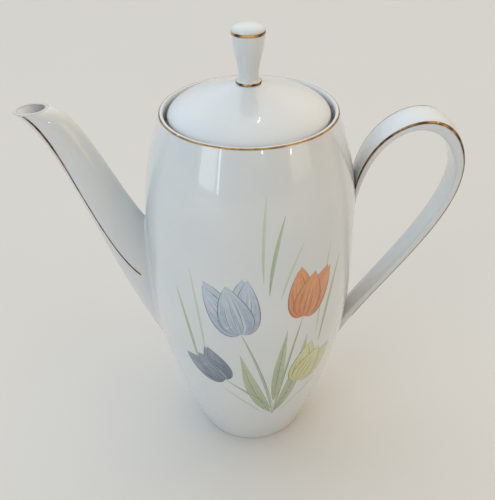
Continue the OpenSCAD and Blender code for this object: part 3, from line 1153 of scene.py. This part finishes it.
@dataclass(frozen=True)
class Neck:
    """The run of the spout: its top and bottom curves in its own plane and its half-width, in mm."""

    top: Curve
    low: Curve
    lip_half: float
    taper: float
    root_half: float = 10.8

    def section(self, u: float) -> tuple[Vector, Vector]:
        """Centre of a section and its upper half, as vectors in the plane of the spout."""
        top, low = Vector(self.top.at(u)), Vector(self.low.at(u))
        return (top + low) / 2, (top - low) / 2

    def half_width(self, u: float) -> float:
        """Half-width of a section."""
        return self.lip_half + (self.root_half - self.lip_half) * (1 - u) ** self.taper

    def over(self, u: float, at: Vector) -> float:
        """Height of a point over a section, towards the lip."""
        centre, half = self.section(u)
        return (at - centre).dot(Vector((-half.y, half.x))) / half.length

    def station(self, at: Vector) -> float:
        """Finds the section that a point of the plane lies in.

        Args:
            at: The point.

        Returns:
            Its place along the spout, 0 at the root or before it and 1 at the lip or past it.
        """
        if self.over(0.0, at) <= 0:
            return 0.0
        if self.over(1.0, at) >= 0:
            return 1.0
        return turning_place(lambda u: self.over(u, at) > 0, 26)


@dataclass(frozen=True)
class PouringLip:
    """Draws the spout out, each section in its own plane: wider, to a lip that is nearly level.

    cast is the run of the solid spout and drawn is the run that it gets. crest is the share of the rounding
    over the lip that is kept in its middle, and crest_lean is how much less is kept above and more below.
    """

    cast: Neck = Neck(
        Curve((-56.62, 144.8), (-73.83, 171.42), (-87.14, 205.72), (-100.2, 213.5)),
        Curve((-49.21, 56.8), (-82.47, 116.8), (-90.78, 197.42), (-118.5, 208.9)),
        6.0,
        1.17,
    )
    drawn: Neck = Neck(
        Curve((-56.62, 144.8), (-73.83, 171.42), (-84.58, 209.96), (-100.33, 212.17)),
        Curve((-49.21, 56.8), (-82.47, 116.8), (-95.08, 193.64), (-118.5, 210.4)),
        7.6,
        0.9,
    )
    crest: float = 0.6
    crest_lean: float = 0.2

    def draw(self, piece: bpy.types.Object) -> None:
        """Moves each vertex of a piece with the section of the spout that it lies in.

        Args:
            piece: The spout, or gilding on it.
        """
        for vertex in piece.data.vertices:
            at = Vector((vertex.co.x, vertex.co.z)) / MM
            u = self.cast.station(at)
            if u <= 0:
                continue
            centre, half = self.cast.section(u)
            new_centre, new_half = self.drawn.section(u)
            share = (at - centre).dot(half) / half.length_squared
            over = max(0.0, self.cast.over(u, at)) if u >= 1 else 0.0
            over *= self.crest - self.crest_lean * share
            place = new_centre + share * new_half + over * Vector((-new_half.y, new_half.x)).normalized()
            wide = vertex.co.y * self.drawn.half_width(u) / self.cast.half_width(u)
            vertex.co = (place.x * MM, wide, place.y * MM)
        piece.data.update()


@dataclass
class Limbs:
    """The spout and the strap handle, luted to the body over soft fillets."""

    levels: int = 1
    names: tuple[tuple[str, str], ...] = (("spout", "swept_spout"), ("handle", "strap_handle"))
    lip: PouringLip = PouringLip()

    def build(self, nodes: dict[str, bpy.types.Object], glaze: bpy.types.Material) -> list[bpy.types.Object]:
        """Smooths and dresses both limbs.

        Args:
            nodes: The solids of the frame by name.
            glaze: Their material.

        Returns:
            The two pieces.
        """
        made = []
        for node, name in self.names:
            piece = refined(nodes[node], name, self.levels)
            if node == "spout":
                self.lip.draw(piece)
            piece.data.materials.append(glaze)
            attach(piece, Body.POT.value)
            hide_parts(node)
            made.append(piece)
        return made


@dataclass
class GiltLines:
    """The brushed lines of gold on spout and handle, and the gold on rim, lip and knob."""

    levels: int = 1
    names: tuple[tuple[str, str], ...] = (
        ("spout_line_front", "gilt_spout_front"),
        ("spout_line_back", "gilt_spout_back"),
        ("handle_line_front", "gilt_handle_front"),
        ("handle_line_back", "gilt_handle_back"),
        ("spout_lip_gilt", "gilt_lip"),
    )
    bands: tuple[str, ...] = ("knob_band_gilt", "knob_foot_gilt")
    lip: PouringLip = PouringLip()

    def build(self, nodes: dict[str, bpy.types.Object], vessel: Vessel) -> list[bpy.types.Object]:
        """Smooths the drawn lines and dresses all of the gilding.

        Args:
            nodes: The solids of the frame by name.
            vessel: The body whose rim is gilded.

        Returns:
            The pieces and solids that were dressed.
        """
        made = []
        gold, brushed = Gilding().material(), BRUSHED_GOLD.material()
        rubbed, mirror = RUBBED_GOLD.material(), MIRROR_GOLD.material()
        for node, name in self.names:
            piece = refined(nodes[node], name, self.levels)
            if node.startswith("spout"):
                self.lip.draw(piece)
            piece.data.materials.append(rubbed if node == "spout_lip_gilt" else brushed)
            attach(piece, Body.POT.value)
            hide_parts(node)
            made.append(piece)
        made.append(vessel.gild(gold))
        for node in self.bands:
            band = nodes[node]
            band.data.materials.clear()
            band.data.materials.append(mirror)
            made.append(band)
        return made


# ---------------------------------------------------------------------------------------------------
# Printed spray
# ---------------------------------------------------------------------------------------------------


def swelling(u: float, thin: float, fullness: float) -> float:
    """How wide a drawn line is, as a share of its middle.

    Args:
        u: Place along it, from 0 to 1.
        thin: Its width at both ends.
        fullness: How late it narrows: 1 for a sine, less for fuller.

    Returns:
        The share.
    """
    return thin + (1 - thin) * math.sin(math.pi * u) ** fullness


@dataclass(frozen=True)
class Petal:
    """A petal or leaf in the plane of the print, in mm. lean is in degrees to the right of upright."""

    root: Pair
    lean: float
    length: float
    width: float
    bend: float
    fullness: float
    point: float
    lift: float
    droop: float = 0.04

    def place(self, u: float, v: float) -> Pair:
        """Point of the petal.

        Args:
            u: Place along it, from 0 to 1.
            v: Place across it, from -1 to 1.

        Returns:
            Its place in the plane of the print: round the pot and up.
        """
        swell = math.sin(math.pi * min(1.0, u) ** self.fullness) ** self.point if 0 < u < 1 else 0.0
        across = v * self.width / 2 * swell + self.bend * u * u
        along = self.length * u - abs(v) ** 2.2 * self.length * self.droop * u
        a = math.radians(self.lean)
        return (
            self.root[0] + along * math.sin(a) + across * math.cos(a),
            self.root[1] + along * math.cos(a) - across * math.sin(a),
        )


@dataclass(frozen=True)
class Stroke:
    """A drawn line between three points, thick in its middle and thin at its ends."""

    start: Pair
    middle: Pair
    end: Pair
    width: float
    lift: float = 0.015
    thin: float = 0.12

    def place(self, u: float, v: float) -> Pair:
        """Point of the stroke.

        Args:
            u: Place along it, from 0 to 1.
            v: Place across it, from -1 to 1.

        Returns:
            Its place in the plane of the print.
        """
        s = 1 - u
        w = (s * s, 2 * s * u, u * u)
        points = (self.start, self.middle, self.end)
        x = sum(k * p[0] for k, p in zip(w, points))
        y = sum(k * p[1] for k, p in zip(w, points))
        dx = 2 * s * (self.middle[0] - self.start[0]) + 2 * u * (self.end[0] - self.middle[0])
        dy = 2 * s * (self.middle[1] - self.start[1]) + 2 * u * (self.end[1] - self.middle[1])
        long = math.hypot(dx, dy) or 1.0
        half = v * self.width / 2 * swelling(u, self.thin, 0.8)
        return x + half * dy / long, y - half * dx / long


@dataclass(frozen=True)
class Trace:
    """A fine pen line that follows a petal at one place across it."""

    petal: Petal
    side: float
    first: float
    last: float
    width: float
    lift: float
    thin: float = 0.2

    def place(self, u: float, v: float) -> Pair:
        """Point of the line.

        Args:
            u: Place along it, from 0 to 1.
            v: Place across it, from -1 to 1.

        Returns:
            Its place in the plane of the print.
        """
        t = self.first + (self.last - self.first) * u
        here = self.petal.place(t, self.side)
        back = self.petal.place(max(t - 0.01, 0.0), self.side)
        ahead = self.petal.place(min(t + 0.01, 1.0), self.side)
        dx, dy = ahead[0] - back[0], ahead[1] - back[1]
        long = math.hypot(dx, dy) or 1.0
        half = v * self.width / 2 * swelling(u, self.thin, 0.7)
        return here[0] + half * dy / long, here[1] - half * dx / long


Mark = Petal | Stroke | Trace


@dataclass(frozen=True)
class CupPetal:
    """One petal of a tulip's cup. Its length, width and bend are shares of the cup's height."""

    lean: float
    length: float
    width: float
    bend: float
    fullness: float
    point: float
    lift: float

    def grown(self, at: Pair, lean: float, size: float) -> Petal:
        """Grows the petal on a flower.

        Args:
            at: Base of the cup in the plane of the print.
            lean: Lean of the cup to the right, in degrees.
            size: Height of the cup.

        Returns:
            The petal.
        """
        long, wide, bend = size * self.length, size * self.width, size * self.bend
        return Petal(at, lean + self.lean, long, wide, bend, self.fullness, self.point, self.lift)


CUP = (
    CupPetal(-15, 1.04, 0.42, -0.03, 0.66, 0.62, 0.02),
    CupPetal(15, 1.0, 0.42, 0.03, 0.66, 0.62, 0.024),
    CupPetal(-33, 0.95, 0.44, 0.2, 0.62, 0.66, 0.036),
    CupPetal(33, 0.97, 0.44, -0.2, 0.62, 0.66, 0.042),
    CupPetal(1, 0.88, 0.54, 0.0, 0.62, 0.66, 0.056),
)


@dataclass(frozen=True)
class Head:
    """One tulip of the spray: its ink, the base of its cup, its lean in degrees and its height."""

    pigment: Pigment
    at: Pair
    lean: float
    size: float

    def petals(self) -> list[Petal]:
        """The petals of the cup, the back ones first."""
        return [petal.grown(self.at, self.lean, self.size) for petal in CUP]


HEADS = (
    Head(Pigment.ORANGE, (22.0, 108.0), 13.0, 31.0),
    Head(Pigment.PALE_BLUE, (-12.0, 101.0), -15.0, 36.0),
    Head(Pigment.DEEP_BLUE, (-21.0, 63.0), -43.0, 27.0),
    Head(Pigment.YELLOW_GREEN, (21.0, 57.0), 31.0, 30.0),
)
LEAVES = (
    Petal((5.5, 30.0), -27.0, 58.0, 8.0, 9.0, 0.8, 0.9, 0.008),
    Petal((8.0, 30.0), 23.0, 66.0, 7.5, -9.0, 0.8, 0.9, 0.008),
    Petal((7.0, 42.0), 2.0, 60.0, 6.0, 4.0, 0.8, 0.9, 0.008),
)
BLADES = (
    Stroke((33.5, 84.0), (38.0, 112.0), (47.0, 136.0), 1.9),
    Stroke((-36.0, 70.0), (-41.0, 98.0), (-49.0, 122.0), 1.8),
    Stroke((3.0, 126.0), (4.0, 148.0), (11.0, 170.0), 2.0),
)
PALE_BLADES = (
    Stroke((31.0, 92.0), (33.5, 122.0), (39.0, 148.0), 1.4),
    Stroke((-32.0, 84.0), (-35.0, 112.0), (-39.5, 138.0), 1.3),
    Stroke((0.0, 134.0), (-1.0, 158.0), (2.0, 181.0), 1.5),
    Stroke((9.0, 122.0), (13.0, 138.0), (21.0, 154.0), 1.2),
    Stroke((1.0, 30.0), (-9.0, 44.0), (-23.0, 56.0), 1.3),
    Stroke((12.0, 30.0), (22.0, 42.0), (35.0, 51.0), 1.3),
)


@dataclass
class Spray:
    """A printed spray of tulips, lance leaves and blades of grass on the front of the pot.

    turn is how far the print stands round the pot from its front, in degrees, and raised is how far the
    whole print is moved up. lift and film are the print's height over the glaze and its thickness.
    """

    turn: float = 4.0
    raised: float = 6.0
    lift: float = 0.02
    film: float = 0.012
    pen: float = 0.36
    pen_lift: float = 0.004
    fine: float = 0.8
    base: Pair = (7.0, 27.0)
    stem: float = 1.5
    stem_sway: float = 0.22
    stem_lift: float = 0.012
    edges: Pair = (-0.97, 0.97)
    veins: tuple[Pair, ...] = ((-0.5, 0.6), (-0.12, 0.78), (0.3, 0.66))
    petal_grid: tuple[int, int] = (12, 34)
    line_grid: tuple[int, int] = (2, 30)

    def pen_lines(self, petals: Sequence[Petal]) -> list[Trace]:
        """The outline and the veins of a flower.

        Args:
            petals: Its petals, the back ones first.

        Returns:
            The lines, each just over its own petal.
        """
        lines = []
        for petal in petals:
            over = petal.lift + self.pen_lift
            lines += [Trace(petal, side, 0.04, 0.985, self.pen, over) for side in self.edges]
            lines += [Trace(petal, side, 0.08, last, self.pen * 0.7, over) for side, last in self.veins]
        return lines

    def stems(self, head: Head) -> tuple[Stroke, Stroke]:
        """The stem of a flower.

        Args:
            head: The flower.

        Returns:
            The stem and the fine pen line along it.
        """
        (x, y), (to_x, to_y) = self.base, head.at
        bend = ((x + to_x) / 2 - self.stem_sway * (to_x - x), (y + to_y) / 2 + 4)
        stem = Stroke(self.base, bend, head.at, self.stem, self.stem_lift)
        line = Stroke((x + 0.7, y + 3), (bend[0] + 0.8, bend[1]), head.at, self.pen * self.fine, 0.02)
        return stem, line

    def layout(self) -> dict[Pigment, list[Mark]]:
        """Lays out the whole spray.

        Returns:
            The marks in each ink.
        """
        marks: dict[Pigment, list[Mark]] = {pigment: [] for pigment in Pigment}
        for head in HEADS:
            petals = head.petals()
            stem, line = self.stems(head)
            marks[head.pigment] += petals
            marks[Pigment.SAGE].append(stem)
            marks[Pigment.LINE] += [*self.pen_lines(petals), line]
        marks[Pigment.SAGE] += [*LEAVES, *BLADES]
        marks[Pigment.PALE_SAGE] += PALE_BLADES
        marks[Pigment.LINE] += [Trace(leaf, 0.05, 0.06, 0.9, self.pen * self.fine, 0.014) for leaf in LEAVES]
        return marks

    def wrapped(self, vessel: Vessel, at: Pair, lift: float) -> Vector:
        """Lays a point of the print on the pot.

        Args:
            vessel: The body that carries it.
            at: Its place round the pot and up, in mm.
            lift: Height over the glaze, in mm.

        Returns:
            The point, in metres.
        """
        z = at[1] + self.raised
        r = vessel.radius(z)
        a = at[0] / r + math.radians(self.turn)
        return Vector((math.sin(a) * (r + lift), -math.cos(a) * (r + lift), z)) * MM

    def mark(self, vessel: Vessel, shape: Mark) -> bpy.types.Object:
        """Models one petal, leaf or line from a grid laid round the pot's curve.

        Args:
            vessel: The body that carries it.
            shape: Its shape in the plane of the print.

        Returns:
            The thin patch.
        """
        deselect_all()
        wide, long = self.petal_grid if isinstance(shape, Petal) else self.line_grid
        bpy.ops.mesh.primitive_grid_add(x_subdivisions=wide, y_subdivisions=long, size=2, calc_uvs=True)
        patch = bpy.context.object
        for vertex in patch.data.vertices:
            u, v = (1 - math.cos(math.pi * (vertex.co.y + 1) / 2)) / 2, vertex.co.x
            vertex.co = self.wrapped(vessel, shape.place(u, v), self.lift + shape.lift)
        return patch

    def build(self, vessel: Vessel, inks: dict[Pigment, bpy.types.Material]) -> list[bpy.types.Object]:
        """Prints the spray.

        Args:
            vessel: The body that carries it.
            inks: The inks.

        Returns:
            One piece for each ink.
        """
        made = []
        for pigment, marks in self.layout().items():
            piece = joined([self.mark(vessel, shape) for shape in marks])
            bpy.ops.object.mode_set(mode="EDIT")
            bpy.ops.mesh.select_all(action="SELECT")
            bpy.ops.mesh.remove_doubles(threshold=1e-7)
            bpy.ops.object.mode_set(mode="OBJECT")
            apply_modifier(piece, "SOLIDIFY", thickness=self.film * MM, offset=-1.0)
            piece = finished(piece, "spray_" + pigment.value, 60)
            piece.data.materials.append(inks[pigment])
            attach(piece, Body.POT.value)
            made.append(piece)
        return made


# ---------------------------------------------------------------------------------------------------
# Studio
# ---------------------------------------------------------------------------------------------------


@dataclass(frozen=True)
class SoftBox:
    """A soft lamp, in metres, placed by its bearing in degrees to the right of the pot's front."""

    name: str
    bearing: float
    distance: float
    height: float
    size: Pair
    power: float
    colour: Colour
    aim: float = 0.14

    def hang(self) -> bpy.types.Object:
        """Hangs the lamp so that it faces the middle of the pot.

        Returns:
            The lamp.
        """
        data = bpy.data.lights.new(self.name, "AREA")
        data.shape = "RECTANGLE"
        data.size, data.size_y = self.size
        data.energy = self.power
        data.color = self.colour
        lamp = bpy.data.objects.new(self.name, data)
        a = math.radians(self.bearing)
        place = Vector((self.distance * math.sin(a), -self.distance * math.cos(a), self.height))
        lamp.location = place
        lamp.rotation_euler = (Vector((0, 0, self.aim)) - place).to_track_quat("-Z", "Y").to_euler()
        bpy.context.scene.collection.objects.link(lamp)
        return lamp


BOXES = (
    SoftBox("window", -49.0, 1.7, 0.58, (0.60, 0.96), 4.0, (0.84, 0.94, 1.0)),
    SoftBox("window_edge", -36.0, 1.6, 0.56, (0.06, 0.92), 0.9, (0.84, 0.94, 1.0)),
    SoftBox("room", 56.0, 1.7, 0.60, (0.80, 0.95), 2.2, (1.0, 0.88, 0.70)),
    SoftBox("ceiling", 166.0, 0.95, 2.1, (0.022, 0.16), 0.14, (1.0, 0.96, 0.90)),
    SoftBox("near_lamp", 12.0, 1.5, 0.47, (0.04, 0.04), 0.08, (1.0, 0.97, 0.92)),
    SoftBox("far_lamp", 46.0, 1.5, 0.37, (0.03, 0.03), 0.05, (1.0, 0.93, 0.82)),
)


@dataclass(frozen=True)
class Sweep:
    """A soft change in the light from all round, from one side of the room to the other."""

    axis: str
    low: float
    high: float
    first: Colour
    last: Colour


SWEEPS = (
    Sweep("Z", -0.05, 0.75, (0.50, 0.49, 0.47), (1.0, 1.0, 1.0)),
    Sweep("X", -0.9, 0.9, (0.83, 1.0, 1.18), (1.02, 0.89, 0.71)),
    Sweep("Y", -0.9, 0.9, (0.72, 0.72, 0.72), (1.20, 1.20, 1.20)),
)


@dataclass
class Studio:
    """The pale floor, the soft lamps and the camera.

    The floor is in metres, the camera's distance and height are in mm, and its pitch, yaw and roll are in
    radians. turn is how far it then stands round the pot, in degrees.
    """

    floor_radius: float = 4.0
    floor_colour: Colour = (0.68, 0.65, 0.61)
    floor_shade: float = 0.985
    floor_clouds: float = 3.0
    world_strength: float = 1.15
    focal_px: float = 765.002
    frame_px: float = 500.0
    sensor: float = 36.0
    distance: float = 361.95
    height: float = 367.009
    pitch: float = 0.596008
    yaw: float = -0.00463466
    roll: float = -0.0130073
    turn: float = -2.5

    def floor(self) -> bpy.types.Object:
        """Lays the floor.

        Returns:
            A wide disc.
        """
        deselect_all()
        bpy.ops.mesh.primitive_circle_add(
            vertices=96, radius=self.floor_radius, fill_type="NGON", location=(0, 0, 0)
        )
        floor = finished(bpy.context.object, "studio_floor")
        sheet = FinishSheet("studio_floor", Roughness=0.75, IOR=1.3)
        clouds = sheet.mapped(sheet.noise(self.floor_clouds), *NOISE_SPAN)
        shade = tuple(self.floor_shade * c for c in self.floor_colour)
        sheet.drive("Base Color", sheet.mixed(clouds, self.floor_colour, shade))
        floor.data.materials.append(sheet.material)
        return floor

    def world(self) -> None:
        """Sets the soft light from all round: brighter overhead and behind, cooler left, warmer right."""
        world = bpy.data.worlds.new("studio")
        world.use_nodes = True
        sheet = Sheet(world.node_tree)
        apart = sheet.node("SeparateXYZ")
        sheet.feed(apart.inputs["Vector"], sheet.node("TexCoord").outputs["Generated"])
        light = None
        for sweep in SWEEPS:
            share = sheet.mapped(apart.outputs[sweep.axis], sweep.low, sweep.high, easing=Easing.SOFT)
            tone = sheet.mixed(share, sweep.first, sweep.last)
            light = tone if light is None else sheet.tinted(light, tone)
        back = sheet.tree.nodes["Background"]
        back.inputs["Strength"].default_value = self.world_strength
        sheet.feed(back.inputs["Color"], light)
        bpy.context.scene.world = world

    def camera(self) -> bpy.types.Object:
        """Sets up the camera at the pot's viewing angle.

        Returns:
            The camera.
        """
        turn = Matrix.Rotation(math.radians(self.turn), 3, "Z")
        level, fall = math.cos(self.pitch), -math.sin(self.pitch)
        ahead = turn @ Vector((math.sin(self.yaw) * level, math.cos(self.yaw) * level, fall))
        right = turn @ Vector((math.cos(self.yaw), -math.sin(self.yaw), 0))
        up = right.cross(ahead)
        c, s = math.cos(self.roll), math.sin(self.roll)
        right, up = c * right + s * up, c * up - s * right
        data = bpy.data.cameras.new("camera")
        data.sensor_width = self.sensor
        data.lens = self.focal_px * data.sensor_width / self.frame_px
        data.clip_start, data.clip_end = 0.02, 20.0
        camera = bpy.data.objects.new("camera", data)
        place = turn @ Vector((0, -self.distance, self.height)) * MM
        turned_to = Matrix((right, up, -ahead)).transposed().to_4x4()
        camera.matrix_world = Matrix.Translation(place) @ turned_to
        bpy.context.scene.collection.objects.link(camera)
        bpy.context.scene.camera = camera
        return camera

    def build(self) -> None:
        """Sets up the whole studio."""
        self.floor()
        self.world()
        for box in BOXES:
            box.hang()
        self.camera()
        bpy.context.scene.view_settings.view_transform = "Standard"


# ---------------------------------------------------------------------------------------------------
# The pot
# ---------------------------------------------------------------------------------------------------


def report(pieces: Sequence[bpy.types.Object]) -> None:
    """Logs the name and the number of faces of each piece."""
    for piece in pieces:
        LOG.info("%s: %d faces", piece.name, len(piece.data.polygons))


def main() -> None:
    """Loads the frame, builds every piece in order and sets up the studio."""
    logging.basicConfig(level=logging.INFO, format="%(name)s: %(message)s")
    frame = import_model()
    deselect_all()
    nodes = frame["nodes"]
    glaze = Glaze().material()
    coats = {Coat.GLAZED: glaze, Coat.GROUND: Bisque().material(), Coat.PAINTED_SHADE: SHADED_SEAT.material()}
    vessel, lid, knob = Vessel(), Lid(), Knob()
    report([vessel.build(coats)])
    report([lid.build(vessel, glaze), knob.build(vessel, lid, glaze)])
    report(Limbs().build(nodes, glaze))
    report(GiltLines().build(nodes, vessel))
    report(Spray().build(vessel, {ink.pigment: ink.material() for ink in INKS}))
    Studio().build()


if __name__ == "__main__":
    main()
